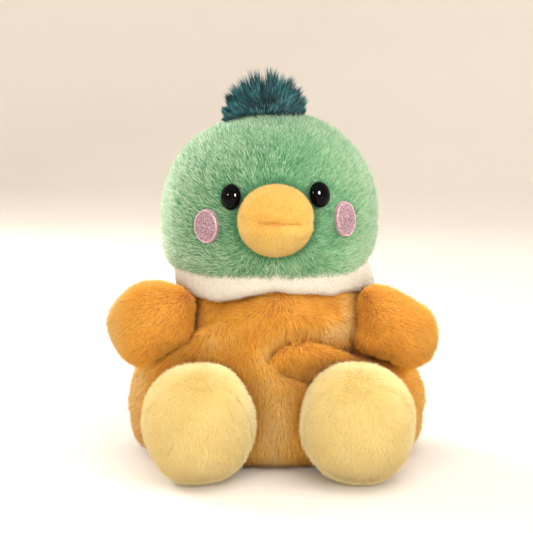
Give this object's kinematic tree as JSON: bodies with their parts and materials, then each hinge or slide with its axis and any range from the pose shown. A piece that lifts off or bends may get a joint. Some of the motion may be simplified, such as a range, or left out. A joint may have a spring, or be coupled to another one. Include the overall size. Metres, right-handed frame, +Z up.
{
  "type": "plush duck",
  "caption": "Palm-size sitting plush duck with a wide green head, a ball-shaped bill, a crest, stubby wings and round feet.",
  "frame": {"origin": "the middle of the duck's overall box, on the flat surface that it sits on", "axes": "+Z up through the crest, -Y the way the duck faces, +X to the duck's own left"},
  "size_m": [0.1072, 0.0994, 0.1274],
  "materials": {
    "caramel_plush": "short shaggy pile, matte",
    "green_plush": "short shaggy pile with pale tips, matte",
    "crest_pile": "long pile, matte",
    "bill_plush": "short velvety pile, matte",
    "mouth_thread": "twisted sewing thread",
    "eye_plastic": "polished dome",
    "washer_plastic": "moulded",
    "cheek_satin": "satin stitch",
    "cream_fleece": "short fleece, matte",
    "foot_plush": "short shaggy pile, matte",
    "fibre_fill": "loose polyester fibre",
    "bag_cloth": "plain woven",
    "pellet_plastic": "small pellets"
  },
  "bodies": {
    "torso": {"body_skin": "caramel_plush", "base_panel": "caramel_plush", "body_stuffing": "fibre_fill", "pellet_bag": "bag_cloth", "pellet_fill": "pellet_plastic", "tail_skin": "caramel_plush", "tail_stuffing": "fibre_fill"},
    "neck": {"neck_stuffing": "fibre_fill", "collar_band": "cream_fleece"},
    "head": {"head_skin": "green_plush", "head_stuffing": "fibre_fill", "crest_tuft": "crest_pile", "beak_skin": "bill_plush", "beak_stuffing": "fibre_fill", "mouth_thread": "mouth_thread", "left_eye": "eye_plastic", "right_eye": "eye_plastic", "left_eye_washer": "washer_plastic", "right_eye_washer": "washer_plastic", "left_cheek": "cheek_satin", "right_cheek": "cheek_satin"},
    "left_wing": {"left_wing_skin": "caramel_plush", "left_wing_stuffing": "fibre_fill"},
    "right_wing": {"right_wing_skin": "caramel_plush", "right_wing_stuffing": "fibre_fill"},
    "left_foot": {"left_foot_skin": "foot_plush", "left_foot_sole": "foot_plush", "left_foot_stuffing": "fibre_fill"},
    "right_foot": {"right_foot_skin": "foot_plush", "right_foot_sole": "foot_plush", "right_foot_stuffing": "fibre_fill"}
  },
  "joints": [
    {"name": "neck_turn", "type": "hinge", "parent": "torso", "child": "neck", "pos_m": [0, 0.00329, 0.058], "axis": [0, 0, 1], "range_deg": [-15, 15], "stiffness_Nm_per_rad": 0.12, "deforming": ["neck_stuffing", "collar_band"]},
    {"name": "head_nod", "type": "hinge", "parent": "neck", "child": "head", "pos_m": [0, 0.00429, 0.058], "axis": [1, 0, 0], "range_deg": [-12, 12], "stiffness_Nm_per_rad": 0.15},
    {"name": "left_shoulder", "type": "hinge", "parent": "torso", "child": "left_wing", "pos_m": [0.031, -0.01071, 0.053], "axis": [0, -1, 0], "range_deg": [0, 30], "stiffness_Nm_per_rad": 0.02},
    {"name": "right_shoulder", "type": "hinge", "parent": "torso", "child": "right_wing", "pos_m": [-0.031, -0.01071, 0.053], "axis": [0, 1, 0], "range_deg": [0, 30], "stiffness_Nm_per_rad": 0.02},
    {"name": "left_hip", "type": "hinge", "parent": "torso", "child": "left_foot", "pos_m": [0.0244, -0.02021, 0.0335], "axis": [-1, 0, 0], "range_deg": [0, 30], "stiffness_Nm_per_rad": 0.03},
    {"name": "right_hip", "type": "hinge", "parent": "torso", "child": "right_foot", "pos_m": [-0.0244, -0.02021, 0.0335], "axis": [-1, 0, 0], "range_deg": [0, 30], "stiffness_Nm_per_rad": 0.03}
  ]
}
